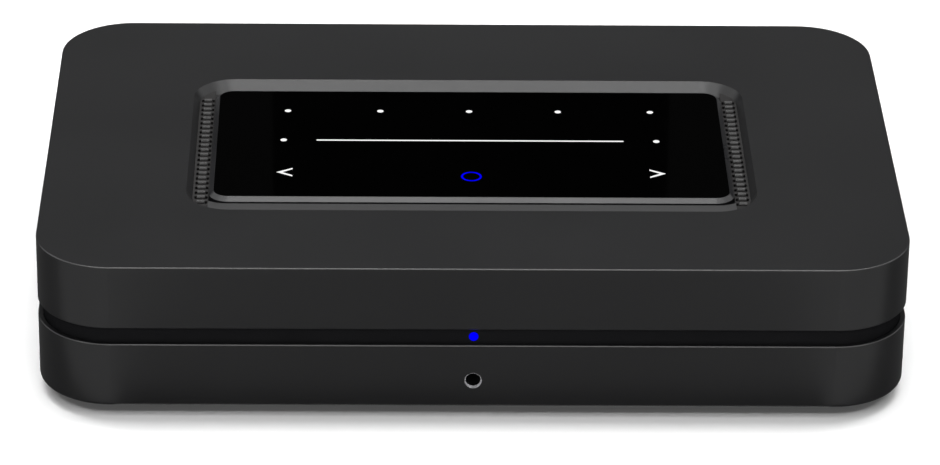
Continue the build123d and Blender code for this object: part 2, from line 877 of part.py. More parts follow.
def make_hdmi_socket():
    with BuildPart() as socket:
        with BuildSketch(Plane.XZ.offset(-socket_face)):
            with BuildLine():
                hdmi_outline(hdmi_width, hdmi_height, hdmi_slope)
            make_face()
        extrude(amount=hdmi_length)
        with BuildSketch(Plane.XZ.offset(-socket_face)):
            with BuildLine():
                hdmi_outline(
                    hdmi_width - 2 * shell_wall,
                    hdmi_height - 2 * shell_wall,
                    hdmi_slope - shell_wall / 2,
                )
            make_face()
        extrude(amount=hdmi_length - 2 * shell_wall, mode=Mode.SUBTRACT)
    save(socket, "hdmi_socket")


def make_socket_tongues():
    """The contact carriers that stand inside the USB, HDMI and service sockets."""
    with BuildPart() as tongues:
        for x, z, size, socket_length, length in (
            (
                usb_x,
                usb_z + usb_tongue_rise,
                (usb_tongue_width, usb_tongue_height),
                usb_length,
                usb_tongue_length,
            ),
            (hdmi_x, hdmi_z, (hdmi_tongue_width, hdmi_tongue_height), hdmi_length, hdmi_tongue_length),
            (
                service_x,
                service_z,
                (service_tongue_width, service_tongue_height),
                service_length,
                service_tongue_length,
            ),
        ):
            root = socket_face - socket_length + 2 * shell_wall
            block(x, z, size, (root, root + length))
    save(tongues, "socket_tongues")


def make_lan_socket():
    mouth_low = board_top + lan_mouth_lift
    mouth_z = mouth_low + lan_mouth_height / 2
    mouth_span = (socket_face - lan_mouth_depth, socket_face)
    with BuildPart() as socket:
        block(
            lan_x,
            board_top + lan_height / 2,
            (lan_width, lan_height),
            (socket_face - lan_length, socket_face),
        )
        block(lan_x, mouth_z, (lan_mouth_width, lan_mouth_height), mouth_span, Mode.SUBTRACT)
        latch_z = mouth_low + lan_mouth_height + lan_latch_height / 2
        block(lan_x, latch_z, (lan_latch_width, lan_latch_height), mouth_span, Mode.SUBTRACT)
    save(socket, "lan_socket")
    middle = (lan_contact_count - 1) / 2
    with BuildPart() as contacts:
        for n in range(lan_contact_count):
            x = lan_x + (n - middle) * lan_contact_pitch
            with BuildSketch(Plane.YZ.offset(x - lan_contact_width / 2)) as wire:
                with BuildLine() as side_view:
                    Polyline(
                        (mouth_span[0], mouth_low),
                        (mouth_span[0] + lan_contact_length, mouth_low),
                        (mouth_span[0], mouth_low + lan_contact_rise),
                        close=True,
                    )
                make_face(side_view.edges())
            extrude(wire.sketch, amount=lan_contact_width)
    save(contacts, "lan_contacts")


def make_round_jack(label, x, z, y_span, nose_end, facing):
    """A box with a round nose and a blind bore. facing is 1 towards the back and -1 towards the front."""
    body_face = y_span[1] if facing > 0 else y_span[0]
    bore_end = nose_end - facing * jack_bore_depth
    with BuildPart() as jack:
        block(x, z, (jack_width, jack_height), y_span)
        if nose_end != body_face:
            rod([(x, z)], jack_nose_radius, sorted((body_face, nose_end)))
        rod([(x, z)], jack_bore_radius, sorted((bore_end, nose_end)), Mode.SUBTRACT)
    save(jack, label)


def make_jacks():
    for label in jack_names:
        make_round_jack(
            label,
            socket_x[label],
            jack_z,
            (block_face - jack_length - socket_proud, block_face),
            panel_face + jack_nose_proud,
            1,
        )
    front = -half_depth + wall + fit_gap
    make_round_jack("headphone_jack", 0, headphone_z, (front, front_board_face), front, -1)
    with BuildPart() as bush:
        rod([(0, headphone_z)], bush_radius, (-half_depth, front))
        rod([(0, headphone_z)], bush_bore_radius, (-half_depth, front), Mode.SUBTRACT)
        rim = bush.edges().filter_by(GeomType.CIRCLE).group_by(Axis.Y)[0].sort_by(SortBy.RADIUS)[0]
        bore = bush.faces().filter_by(GeomType.CYLINDER).sort_by(SortBy.AREA)[0]
        chamfer(rim, bush_mouth_depth, bush_mouth_radius - bush_bore_radius, reference=bore)
    save(bush, "headphone_bush")


def make_optical_socket():
    mouth_z = (optical_floor + optical_roof) / 2
    pin_reach = optical_mouth_width / 2 + shutter_pin_length + fit_gap
    with BuildPart() as socket:
        block(
            optical_x,
            board_top + optical_height / 2,
            (optical_width, optical_height),
            (socket_face - optical_length, socket_face),
        )
        block(
            optical_x,
            mouth_z,
            (optical_mouth_width, optical_mouth_height),
            (socket_face - optical_mouth_depth, socket_face),
            Mode.SUBTRACT,
        )
        with BuildSketch(Plane.YZ.offset(optical_x - pin_reach)) as pivot:
            with Locations((hinge_y, hinge_z)):
                Circle(shutter_pin_radius + shutter_pin_gap)
        extrude(pivot.sketch, amount=2 * pin_reach, mode=Mode.SUBTRACT)
    save(socket, "optical_socket")
    half = optical_mouth_width / 2 - shutter_side_gap
    with BuildPart() as shutter:
        slab(
            (optical_x - half, optical_x + half),
            (hinge_y - shutter_thickness / 2, hinge_y + shutter_thickness / 2),
            (optical_floor + shutter_side_gap, hinge_z),
        )
        with BuildSketch(Plane.YZ.offset(optical_x - half)) as barrel:
            with Locations((hinge_y, hinge_z)):
                Circle(shutter_barrel_radius)
        extrude(barrel.sketch, amount=2 * half)
        pin_end = optical_mouth_width / 2 + shutter_pin_length
        with BuildSketch(Plane.YZ.offset(optical_x - pin_end)) as trunnion:
            with Locations((hinge_y, hinge_z)):
                Circle(shutter_pin_radius)
        extrude(trunnion.sketch, amount=2 * pin_end)
    save(shutter, "optical_shutter")


def make_rca_sockets():
    with BuildPart() as housings:
        for x in (analogue_rca_x, digital_rca_x):
            block(
                x,
                board_top + rca_block_height / 2,
                (rca_block_width, rca_block_height),
                (block_face - rca_block_length, block_face),
            )
        rod(
            panel_screw_spots,
            panel_screw_radius + thread_gap,
            (panel_face - panel_screw_length - thread_gap, block_face),
            Mode.SUBTRACT,
        )
    save(housings, "rca_blocks")
    spots = list(rca_places.values())
    collar_end = block_face + rca_collar_length
    barrel_end = collar_end + rca_barrel_length
    with BuildPart() as barrels:
        rod(spots, rca_barrel_radius, (collar_end, barrel_end))
        rod(spots, rca_barrel_radius - rca_barrel_wall, (collar_end, barrel_end), Mode.SUBTRACT)
        rims = barrels.edges().group_by(Axis.Y)[-1].sort_by(SortBy.RADIUS)[-len(spots):]
        chamfer(rims, rca_barrel_wall / 2)
    save(barrels, "rca_barrels")
    for name, spot in rca_places.items():
        core_end = barrel_end - rca_core_setback
        with BuildPart() as insert:
            rod([spot], rca_collar_radius, (block_face, collar_end))
            rod([spot], rca_barrel_radius - rca_barrel_wall, (collar_end, core_end))
            rod([spot], rca_bore_radius, (core_end - rca_bore_depth, core_end), Mode.SUBTRACT)
        save(insert, f"{name}_insert")


def make_boards():
    for label, x_span, front, holes in (
        ("main_board", (main_left, main_right), main_front, main_holes),
        ("power_board", (power_left, power_right), power_front, power_holes),
    ):
        with BuildPart() as board:
            slab(x_span, (front, board_rear), (board_bottom, board_top))
            post(holes, board_screw_radius + case_screw_gap, (board_bottom, board_top), Mode.SUBTRACT)
        save(board, label)
    with BuildPart() as board:
        slab(
            (-front_board_half_width, front_board_half_width),
            (front_board_face, front_board_face + front_board_thickness),
            (floor_top, floor_top + front_board_height),
        )
    save(board, "front_board")


def make_front_parts():
    with BuildPart() as light:
        light_span = (-band_face - light_proud, front_board_face - led_depth)
        rod([(0, light_z)], light_radius - thread_gap, light_span)
    save(light, "status_light")
    with BuildPart() as led:
        block(0, light_z, (led_width, led_height), (front_board_face - led_depth, front_board_face))
    save(led, "status_led")
    with BuildPart() as receiver:
        block(
            receiver_x,
            light_z,
            (receiver_width, receiver_height),
            (front_board_face - receiver_depth, front_board_face),
        )
        rod(
            [(receiver_x, light_z)],
            receiver_width / 3,
            (front_board_face - receiver_depth - receiver_width / 3, front_board_face - receiver_depth),
        )
    save(receiver, "infrared_receiver")


def make_main_parts():
    half = sink_side / 2
    base_bottom = board_top + chip_height
    fin_step = (sink_side - sink_fin_thickness) / (sink_fin_count - 1)
    with BuildPart() as sink:
        x_span = (sink_x - half, sink_x + half)
        y_span = (sink_y - half, sink_y + half)
        slab(x_span, y_span, (base_bottom, base_bottom + sink_base))
        for n in range(sink_fin_count):
            left = x_span[0] + n * fin_step
            slab(
                (left, left + sink_fin_thickness),
                y_span,
                (base_bottom + sink_base, base_bottom + sink_base + sink_fin_height),
            )
    save(sink, "processor_heat_sink")
    with BuildPart() as chips:
        side = processor_side / 2
        slab((sink_x - side, sink_x + side), (sink_y - side, sink_y + side), (board_top, base_bottom))
        half_chip = chip_side / 2
        for share_x, share_y in chip_place_shares:
            x = main_middle[0] + share_x * main_half[0]
            y = main_middle[1] + share_y * main_half[1]
            slab((x - half_chip, x + half_chip), (y - half_chip, y + half_chip), (board_top, base_bottom))
    save(chips, "main_chips")
    with BuildPart() as shield:
        slab(
            (shield_x - shield_width / 2, shield_x + shield_width / 2),
            (shield_y - shield_depth / 2, shield_y + shield_depth / 2),
            (board_top, board_top + shield_height),
        )
        fillet(shield.edges().filter_by(Axis.Z), shield_round)
    save(shield, "radio_shield")
    audio_cap_x = main_middle[0] + audio_cap_place_share[0] * main_half[0]
    audio_cap_y = main_middle[1] + audio_cap_place_share[1] * main_half[1]
    with BuildPart() as capacitors:
        spots = [
            (audio_cap_x + column * audio_cap_pitch, audio_cap_y - row * audio_cap_pitch)
            for column in range(audio_cap_columns)
            for row in range(audio_cap_rows)
        ]
        post(spots, audio_cap_radius, (board_top, board_top + audio_cap_height))
        fillet(capacitors.edges().group_by(Axis.Z)[-1], audio_cap_radius / 8)
    save(capacitors, "audio_capacitors")


def make_power_parts():
    half_w, half_d = transformer_width / 2, transformer_depth / 2
    transformer_x = power_x + transformer_shift
    transformer_y = power_middle_y + transformer_place_share * power_half_y
    bulk_y = power_middle_y + bulk_place_share * power_half_y
    film_y = power_middle_y + film_place_share * power_half_y
    choke_y = power_middle_y + choke_place_share * power_half_y
    heat_plate_y = power_middle_y + heat_plate_place_share * power_half_y
    core_top = board_top + transformer_height
    with BuildPart() as core:
        x_span = (transformer_x - half_w, transformer_x + half_w)
        slab(x_span, (transformer_y - half_d, transformer_y + half_d), (board_top, core_top))
        slab(
            x_span,
            (transformer_y - half_d + transformer_yoke, transformer_y + half_d - transformer_yoke),
            (board_top, core_top),
            mode=Mode.SUBTRACT,
        )
    save(core, "transformer_core")
    with BuildPart() as winding:
        reach = half_d - transformer_yoke
        rod(
            [(transformer_x, board_top + winding_reach)],
            winding_radius,
            (transformer_y - reach, transformer_y + reach),
        )
        slab(
            (transformer_x - winding_radius, transformer_x + winding_radius),
            (transformer_y - reach, transformer_y + reach),
            (board_top, board_top + winding_reach),
        )
    save(winding, "transformer_winding")
    with BuildPart() as bulk:
        post([(power_x, bulk_y)], bulk_radius, (board_top, board_top + bulk_height))
        fillet(bulk.edges().group_by(Axis.Z)[-1], bulk_radius / 8)
    save(bulk, "bulk_capacitor")
    with BuildPart() as film:
        slab(
            (power_x - film_width / 2, power_x + film_width / 2),
            (film_y - film_depth / 2, film_y + film_depth / 2),
            (board_top, board_top + film_height),
        )
        fillet(film.edges().group_by(Axis.Z)[-1], film_depth / 10)
    save(film, "film_capacitor")
    with BuildPart() as choke:
        post([(power_x, choke_y)], choke_radius, (board_top, board_top + choke_length))
        post([(power_x, choke_y)], choke_hole_radius, (board_top, board_top + choke_length), Mode.SUBTRACT)
        fillet(choke.edges().group_by(Axis.Z)[-1], choke_hole_radius / 2)
    save(choke, "mains_choke")
    with BuildPart() as fuse:
        rod(
            [(power_x + fuse_x_offset, board_top + fuse_radius)],
            fuse_radius,
            (choke_y - fuse_length / 2, choke_y + fuse_length / 2),
        )
    save(fuse, "fuse")
    with BuildPart() as plate:
        slab(
            (power_left, power_left + heat_plate_thickness),
            (heat_plate_y - heat_plate_length / 2, heat_plate_y + heat_plate_length / 2),
            (board_top, board_top + heat_plate_height),
        )
    save(plate, "power_heat_sink")


def make_harness():
    """The wires between the two boards, from plug to plug."""
    row = [wire_y + (n - (wire_count - 1) / 2) * wire_pitch for n in range(wire_count)]
    plug_top = board_top + plug_height
    with BuildPart() as wires:
        for y in row:
            with BuildLine() as path:
                FilletPolyline(
                    (harness_plug_x[0], y, plug_top),
                    (harness_plug_x[0], y, plug_top + wire_rise),
                    (harness_plug_x[1], y, plug_top + wire_rise),
                    (harness_plug_x[1], y, plug_top),
                    radius=wire_bend,
                )
            with BuildSketch(Plane(origin=path.line @ 0, z_dir=path.line % 0)) as section:
                Circle(wire_radius)
            sweep(section.sketch, path=path.line)
    save(wires, "power_harness")


def make_headers():
    """The plugs of the harness and the header of the ribbon, standing on the boards."""
    with BuildPart() as headers:
        for x in harness_plug_x:
            slab(
                (x - plug_depth / 2, x + plug_depth / 2),
                (wire_y - plug_width / 2, wire_y + plug_width / 2),
                (board_top, board_top + plug_height),
            )
        slab(
            (-header_width / 2, header_width / 2),
            (ribbon_end_y - header_depth / 2, ribbon_end_y + header_depth / 2),
            (board_top, board_top + header_height),
        )
    save(headers, "board_headers")


def make_ribbon():
    """The flat flexible cable from the touch board down to its header on the main board."""
    low = board_top + header_height
    middle = (pocket_floor + low) / 2
    with BuildPart() as ribbon:
        with BuildSketch(Plane.YZ.offset(-ribbon_width / 2)):
            with BuildLine() as line:
                FilletPolyline(
                    (ribbon_slot_y, pocket_floor),
                    (ribbon_slot_y, middle),
                    (ribbon_end_y, middle - ribbon_drop),
                    (ribbon_end_y, low),
                    radius=ribbon_bend,
                )
            trace(line.line, ribbon_thickness)
        extrude(amount=ribbon_width)
    save(ribbon, "panel_ribbon")


def make_aerials():
    """Two aerial boards on the side walls, and their thin leads to the radio shield."""
    inner_wall = half_width - wall
    aerial_face = inner_wall - aerial_thickness
    with BuildPart() as aerials:
        for side in (-1, 1):
            slab(
                sorted((side * inner_wall, side * aerial_face)),
                (shield_y - aerial_length / 2, shield_y + aerial_length / 2),
                (floor_top + aerial_lift, floor_top + aerial_lift + aerial_height),
            )
    save(aerials, "aerials")
    z = board_top + lead_rise
    shield_face = shield_y - shield_depth / 2
    with BuildPart() as leads:
        for side in (-1, 1):
            start_x = shield_x + side * shield_width / 4
            front = main_front - lead_detour - side * lead_radius * 2
            corner_x = side * (aerial_face - lead_bend)
            with BuildLine() as path:
                FilletPolyline(
                    (start_x, shield_face, z),
                    (start_x, front, z),
                    (corner_x, front, z),
                    (corner_x, shield_y, z),
                    (side * aerial_face, shield_y, z),
                    radius=lead_bend / 2,
                )
            with BuildSketch(Plane(origin=path.line @ 0, z_dir=path.line % 0)) as section:
                Circle(lead_radius)
            sweep(section.sketch, path=path.line)
    save(leads, "aerial_leads")


def main():
    os.makedirs("parts", exist_ok=True)
    make_top_shell()
    make_bottom_shell()
    make_waist_band()
    make_feet()
    make_case_screws()
    make_board_screws()
    make_panel_bezel()
    make_touch_panel()
    make_vent_grille("left_vent_grille", -1)
    make_vent_grille("right_vent_grille", 1)
    make_rear_panel()
    make_panel_screws()
    make_power_inlet()
    make_flat_socket("usb_socket", usb_x, usb_z, (usb_width, usb_height), usb_length)
    make_flat_socket("service_socket", service_x, service_z, (service_width, service_height), service_length)
    make_hdmi_socket()
    make_socket_tongues()
    make_lan_socket()
    make_jacks()
    make_optical_socket()
    make_rca_sockets()
    make_boards()
    make_front_parts()
    make_main_parts()
    make_power_parts()
    make_harness()
    make_headers()
    make_ribbon()
    make_aerials()


main()
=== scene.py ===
"""The looks of a desktop network music streamer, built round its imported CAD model.

Lengths are in metres. The origin is on the floor under the middle of the unit, Z is up and the front
faces -Y.
"""

import math

import bpy
from mathutils import Matrix, Vector


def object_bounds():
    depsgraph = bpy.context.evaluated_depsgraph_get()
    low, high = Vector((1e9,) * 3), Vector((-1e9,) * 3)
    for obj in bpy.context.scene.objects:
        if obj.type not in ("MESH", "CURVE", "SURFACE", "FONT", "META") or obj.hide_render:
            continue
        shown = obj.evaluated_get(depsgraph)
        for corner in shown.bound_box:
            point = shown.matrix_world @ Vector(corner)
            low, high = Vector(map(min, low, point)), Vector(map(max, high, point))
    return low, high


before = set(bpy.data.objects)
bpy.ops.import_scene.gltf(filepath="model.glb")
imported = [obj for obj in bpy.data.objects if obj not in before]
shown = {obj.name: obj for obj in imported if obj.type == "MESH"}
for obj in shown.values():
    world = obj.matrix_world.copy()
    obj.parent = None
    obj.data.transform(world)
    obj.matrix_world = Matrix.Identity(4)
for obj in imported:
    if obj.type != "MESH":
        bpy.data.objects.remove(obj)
cad_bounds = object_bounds()

mm = 0.001
white = (1.0, 1.0, 1.0, 1.0)
black = (0.0, 0.0, 0.0, 1.0)
case_front = cad_bounds[0][1]
case_side = cad_bounds[1][0]

# The sRGB curve, which is straight near black and bent above
byte_top = 255
straight_end = 0.04045
straight_slope = 12.92
bend_offset = 0.055
bend_power = 2.4

# The noise of the finishes: its octaves, what each finer one keeps, and the range that most of it fills
grain_octaves = 3.0
grain_keep = 0.6
patch_octaves = 5.0
patch_keep = 0.65
noise_low = 0.3
noise_high = 0.7


def linear(hex_colour):
    """An sRGB hex colour as linear RGBA."""
    parts = []
    for start in (1, 3, 5):
        value = int(hex_colour[start : start + 2], 16) / byte_top
        if value <= straight_end:
            parts.append(value / straight_slope)
        else:
            parts.append(((value + bend_offset) / (1 + bend_offset)) ** bend_power)
    return (*parts, 1.0)


def scaled(colour, share):
    """A linear colour made darker or lighter."""
    return (*[part * share for part in colour[:3]], 1.0)


def node(tree, kind, inputs=None, **settings):
    """Adds a shader node. An input is a constant or another node's output."""
    added = tree.nodes.new(kind)
    for key, value in settings.items():
        setattr(added, key, value)
    for key, value in (inputs or {}).items():
        if isinstance(value, bpy.types.NodeSocket):
            tree.links.new(value, added.inputs[key])
        else:
            added.inputs[key].default_value = value
    return added


def surface(
    name,
    colour,
    roughness,
    grain,
    depth,
    metal=0.0,
    specular=0.5,
    rough_spread=0.06,
    patch=30,
    tint=0.12,
    finer=(1, 1, 1),
    coat=0.0,
    glow=0.0,
):
    """A finish with a fine grain in its relief and broad patches in its gloss and shade.

    grain and depth are the width and height of the grain, and patch is the width of the patches, all in
    millimetres. rough_spread and tint say how far gloss and shade stray. finer is how many times finer the
    grain is along X, Y and Z. glow is the share of the colour that shines by itself.
    """
    material = bpy.data.materials.new(name)
    material.use_nodes = True
    tree = material.node_tree
    shader = tree.nodes["Principled BSDF"]
    shader.inputs["Metallic"].default_value = metal
    shader.inputs["Specular IOR Level"].default_value = specular
    shader.inputs["Coat Weight"].default_value = coat

    place = node(tree, "ShaderNodeTexCoord").outputs["Object"]
    drawn_out = node(tree, "ShaderNodeMapping", {"Vector": place, "Scale": finer}).outputs["Vector"]
    relief = node(
        tree,
        "ShaderNodeTexNoise",
        {
            "Vector": drawn_out,
            "Scale": 1 / (grain * mm),
            "Detail": grain_octaves,
            "Roughness": grain_keep,
        },
    ).outputs["Fac"]
    bump = node(tree, "ShaderNodeBump", {"Height": relief, "Distance": depth * mm, "Strength": 1.0})
    tree.links.new(bump.outputs["Normal"], shader.inputs["Normal"])

    patches = node(
        tree,
        "ShaderNodeTexNoise",
        {
            "Vector": place,
            "Scale": 1 / (patch * mm),
            "Detail": patch_octaves,
            "Roughness": patch_keep,
        },
    ).outputs["Fac"]
    gloss = node(
        tree,
        "ShaderNodeMapRange",
        {
            "Value": patches,
            "From Min": noise_low,
            "From Max": noise_high,
            "To Min": roughness - rough_spread,
            "To Max": roughness + rough_spread,
        },
    )
    tree.links.new(gloss.outputs["Result"], shader.inputs["Roughness"])

    shade = linear(colour)
    if glow:
        shader.inputs["Base Color"].default_value = scaled(shade, 1 - glow)
        shader.inputs["Emission Color"].default_value = shade
        shader.inputs["Emission Strength"].default_value = glow
        return material
    mottle = node(tree, "ShaderNodeValToRGB", {"Fac": patches})
    darker = mottle.color_ramp.elements[0]
    darker.position = noise_low
    darker.color = scaled(shade, 1 - tint)
    lighter = mottle.color_ramp.elements[1]
    lighter.position = noise_high
    lighter.color = scaled(shade, 1 + tint)
    tree.links.new(mottle.outputs["Color"], shader.inputs["Base Color"])
    return material


def paint_bore_shade(material, mouth_end):
    """Paints a finish black, as painted shade in a bore, where it lies further back than the end of a mouth
    in the front.
    """
    tree = material.node_tree
    shader = tree.nodes["Principled BSDF"]
    plating = shader.inputs["Base Color"].links[0].from_socket
    place = node(tree, "ShaderNodeNewGeometry").outputs["Position"]
    back = node(tree, "ShaderNodeSeparateXYZ", {"Vector": place}).outputs["Y"]
    inside = node(tree, "ShaderNodeMath", {0: back, 1: mouth_end}, operation="GREATER_THAN")
    # The near-black colour here is painted shade in the hole, not the colour of the plating.
    shade = node(
        tree,
        "ShaderNodeMixRGB",
        {"Fac": inside.outputs["Value"], "Color1": plating, "Color2": linear("#050505")},
    )
    tree.links.new(shade.outputs["Color"], shader.inputs["Base Color"])


def dress(material, *pieces):
    """Gives pieces of the CAD model one finish."""
    for piece in pieces:
        slots = shown[piece].data.materials
        slots.clear()
        slots.append(material)


# Finishes of the outside
# A pixel of the picture covers about a quarter of a millimetre, so a grain that is finer on the real one
# is drawn coarser, to show. The comments give the real size too where that was done.

# Spark-eroded moulded ABS gives an even charcoal with a soft sheen and no mirror image. Its grain of
# 0.05 mm is drawn 0.4 mm wide.
charcoal = surface(
    "moulded_abs_charcoal",
    "#111112",
    roughness=0.33,
    grain=0.4,
    depth=0.01,
    rough_spread=0.012,
    patch=50,
    tint=0.03,
)
dress(charcoal, "top_shell", "bottom_shell")

# Moulded ABS without sheen makes the waist read as a dark gap. Its 0.05 mm grain is drawn 0.6 mm wide.
waist_abs = surface("matt_moulded_abs_black", "#131314", roughness=0.5, grain=0.6, depth=0.006, specular=0)
dress(waist_abs, "waist_band")

# Moulded polycarbonate from a finely stoned mould is satin, and its narrow bevels catch the light. The
# grain of 0.02 mm is drawn 0.4 mm wide.
bezel_satin = surface(
    "satin_moulded_polycarbonate",
    "#0f0f11",
    roughness=0.32,
    grain=0.4,
    depth=0.004,
    specular=0.65,
)
dress(bezel_satin, "panel_bezel")

# Matt moulded ABS is a little warmer than the case, so the bars stand out from their slots. The grain of
# 0.05 mm is drawn 0.3 mm wide.
grille_matt = surface("matt_moulded_abs", "#181717", roughness=0.5, grain=0.3, depth=0.008, specular=0.3)
dress(grille_matt, "left_vent_grille", "right_vent_grille")

# Polished glass with black print behind is a deep mirror, with a faint 20 mm ripple and 15 mm wipe marks.
black_glass = surface(
    "back_printed_glass",
    "#010101",
    roughness=0.03,
    grain=20,
    depth=0.0002,
    rough_spread=0.01,
    patch=15,
    tint=0.1,
)
dress(black_glass, "touch_glass")

# Screen-printed white ink, lit from behind, gives flat bright marks. The 0.05 mm print of the screen is
# drawn 0.4 mm wide.
white_ink = surface("screen_printed_white_ink", "#f2f2f2", roughness=0.5, grain=0.4, depth=0.002, glow=0.9)
dress(white_ink, "panel_icons")

# Screen-printed blue ink, lit from behind, shines without any sheen. The print of the screen is drawn as
# in the white ink.
blue_ink = surface(
    "screen_printed_blue_ink",
    "#0000ff",
    roughness=0.4,
    grain=0.4,
    depth=0.002,
    specular=0,
    glow=1,
)
dress(blue_ink, "play_ring", "status_light")

# Turned brass with dull plating shows as a pale ring with a light lower edge. It is drawn without metal,
# as a mirror would show little but the dark cards. Its tool marks of 0.05 mm are drawn 0.8 mm wide.
# Behind the first 0.8 mm of its mouth the bore is painted black, as painted shade in the hole.
mouth_depth = 0.8 * mm
dull_plating = surface("dull_plated_brass", "#a0a0a3", roughness=0.3, grain=0.8, depth=0.002, patch=2)
paint_bore_shade(dull_plating, case_front + mouth_depth)
dress(dull_plating, "headphone_bush")

# Pressed and vulcanised rubber is dead matt and nearly black. Its grain of 0.1 mm is drawn 0.6 mm wide.
rubber = surface("moulded_rubber", "#1a1a1a", roughness=0.8, grain=0.6, depth=0.03, specular=0.3)
dress(rubber, "feet")

# Finishes of the screws

# Cold-headed steel with clear zinc plating is cool silver with 2 mm clouds. Its grain of 0.1 mm is drawn
# 0.3 mm wide.
zinc = surface("zinc_plated_steel", "#b9bcbd", roughness=0.3, grain=0.3, depth=0.006, metal=1, patch=2)
dress(zinc, "case_screws", "board_screws")

# Cold-headed steel blackened in a bath is dark with an oily sheen. Its 0.1 mm grain is drawn 0.3 mm wide.
dark_steel = surface("blackened_steel", "#28282a", roughness=0.4, grain=0.3, depth=0.006, metal=0.8, patch=2)
dress(dark_steel, "panel_screws")

# Finishes of the back

# Sprayed and baked powder coat is softly matt, with the 0.5 mm orange peel of fine powder.
powder_coat = surface("black_powder_coat", "#1d1d1e", roughness=0.55, grain=0.5, depth=0.03, specular=0.4)
dress(powder_coat, "rear_panel")

# Turned brass with bright nickel plating is a warm silver with sharp lights. Its tool marks of 0.05 mm
# are drawn 0.8 mm wide.
nickel = surface("nickel_plated_brass", "#cfcbc2", roughness=0.16, grain=0.8, depth=0.002, metal=1, patch=2)
dress(nickel, "inlet_pins", "rca_barrels")

# Rolled, plated and folded steel sheet is silver, with rolling lines from side to side. They are 0.4 mm
# long and a twelfth as wide.
folded_sheet = surface(
    "plated_steel_sheet",
    "#b8b7b2",
    roughness=0.25,
    grain=0.4,
    depth=0.004,
    metal=1,
    finer=(1, 12, 12),
)
dress(folded_sheet, "usb_socket", "hdmi_socket", "service_socket")

# Gold flash over nickel makes the contacts warm and bright. Its grain of 0.01 mm is drawn 0.4 mm wide.
gold = surface("gold_flash", "#d8ad55", roughness=0.2, grain=0.4, depth=0.002, metal=1, patch=2)
dress(gold, "lan_contacts")

# Black moulded PBT is plain socket plastic with a dull sheen. Its grain of 0.05 mm is drawn 0.4 mm wide.
socket_black = surface("black_moulded_pbt", "#161616", roughness=0.45, grain=0.4, depth=0.008, specular=0.4)
dress(
    socket_black,
    "power_inlet",
    "lan_socket",
    "infrared_jack",
    "trigger_jack",
    "line_in_jack",
    "optical_socket",
    "optical_shutter",
    "rca_blocks",
    "headphone_jack",
)

# Moulded PBT without dye is a matt stone colour. Its grain of 0.05 mm is drawn 0.4 mm wide.
socket_plain = surface("natural_moulded_pbt", "#b4b2ab", roughness=0.5, grain=0.4, depth=0.006)
dress(socket_plain, "socket_tongues", "status_led", "board_headers")

# Dyed moulded ABS gives smooth inserts with soft lights, one colour for each output. The grain of 0.05 mm
# is drawn 0.6 mm wide.
for insert, name, colour, insert_tint in (
    ("left_out_insert", "white_moulded_abs", "#dedcd6", 0.04),
    ("right_out_insert", "red_moulded_abs", "#a41212", 0.06),
    ("coaxial_out_insert", "orange_moulded_abs", "#d9640f", 0.06),
    ("subwoofer_out_insert", "purple_moulded_abs", "#4b2e6b", 0.06),
):
    dress(surface(name, colour, roughness=0.35, grain=0.6, depth=0.006, tint=insert_tint), insert)

# Finishes of the inside

# Cast acrylic with white dye is milky and even, with a faint 1 mm ripple.
milky = surface("milky_cast_acrylic", "#dcdcda", roughness=0.4, grain=1, depth=0.004)
dress(milky, "light_guide")

# Solder mask printed on glass laminate is glossy green, with 6 mm patches like the copper beneath. The
# weave of 0.5 mm is drawn 1.5 mm wide.
mask = surface("green_solder_mask", "#0c3a1c", roughness=0.3, grain=1.5, depth=0.02, patch=6, tint=0.25)
dress(mask, "touch_board", "main_board", "power_board", "front_board", "aerials")

# Black anodised aluminium is dark, with a faint sheen of metal. Its 0.02 mm grain is drawn 0.3 mm wide.
anodised = surface("black_anodised_aluminium", "#1c1c1d", roughness=0.4, grain=0.3, depth=0.01, metal=0.6)
dress(anodised, "processor_heat_sink")

# Extruded aluminium with its mill finish is pale, with drawn lines 0.6 mm long and a tenth as wide.
mill = surface(
    "extruded_aluminium",
    "#b5b6b8",
    roughness=0.35,
    grain=0.6,
    depth=0.01,
    metal=1,
    finer=(1, 10, 1),
)
dress(mill, "power_heat_sink")

# Moulded epoxy is matt and nearly black. Its grain of 0.03 mm is drawn 0.3 mm wide.
epoxy = surface("moulded_epoxy", "#151516", roughness=0.5, grain=0.3, depth=0.008)
dress(epoxy, "main_chips")

# Tin-plated folded steel is a soft silver. Its grain of 0.1 mm is drawn 0.6 mm wide.
tin = surface("tin_plated_steel", "#bcbcb6", roughness=0.3, grain=0.6, depth=0.01, metal=1)
dress(tin, "radio_shield")

# Heat-shrunk PVC is glossy dark blue, with the 2 mm ripples that shrinking leaves.
sleeve = surface("heat_shrunk_pvc", "#14182a", roughness=0.25, grain=2, depth=0.03, coat=0.3)
dress(sleeve, "audio_capacitors", "bulk_capacitor")

# Pressed and sintered ferrite is a rough dark grey. Its grain of 0.1 mm is drawn 0.8 mm wide.
ferrite = surface("sintered_ferrite", "#333335", roughness=0.6, grain=0.8, depth=0.04)
dress(ferrite, "transformer_core", "mains_choke")

# Polyester tape wound round the coils is glossy amber, with 3 mm wrinkles.
tape = surface("wound_polyester_tape", "#c59a1c", roughness=0.25, grain=3, depth=0.05, coat=0.3)
dress(tape, "transformer_winding")

# A moulded polyester box is a dull yellow. Its grain of 0.05 mm is drawn 0.6 mm wide.
yellow_box = surface("yellow_moulded_polyester", "#8f8432", roughness=0.5, grain=0.6, depth=0.01)
dress(yellow_box, "film_capacitor")

# Drawn glass tube is smooth and pale, with a faint 2 mm ripple. It is opaque, as the case hides it.
tube_glass = surface("drawn_glass_tube", "#c8c8c4", roughness=0.1, grain=2, depth=0.004)
dress(tube_glass, "fuse")

# Extruded PVC is dark grey with a soft sheen and a 1 mm ripple along the wires.
wire_cover = surface("extruded_pvc", "#303030", roughness=0.4, grain=1, depth=0.01)
dress(wire_cover, "power_harness", "aerial_leads")

# Laminated polyimide is brown amber, with lines along its tracks, 1 mm long and a twelfth as wide.
ribbon = surface("laminated_polyimide", "#8a4a14", roughness=0.3, grain=1, depth=0.006, finer=(12, 1, 1))
dress(ribbon, "panel_ribbon")

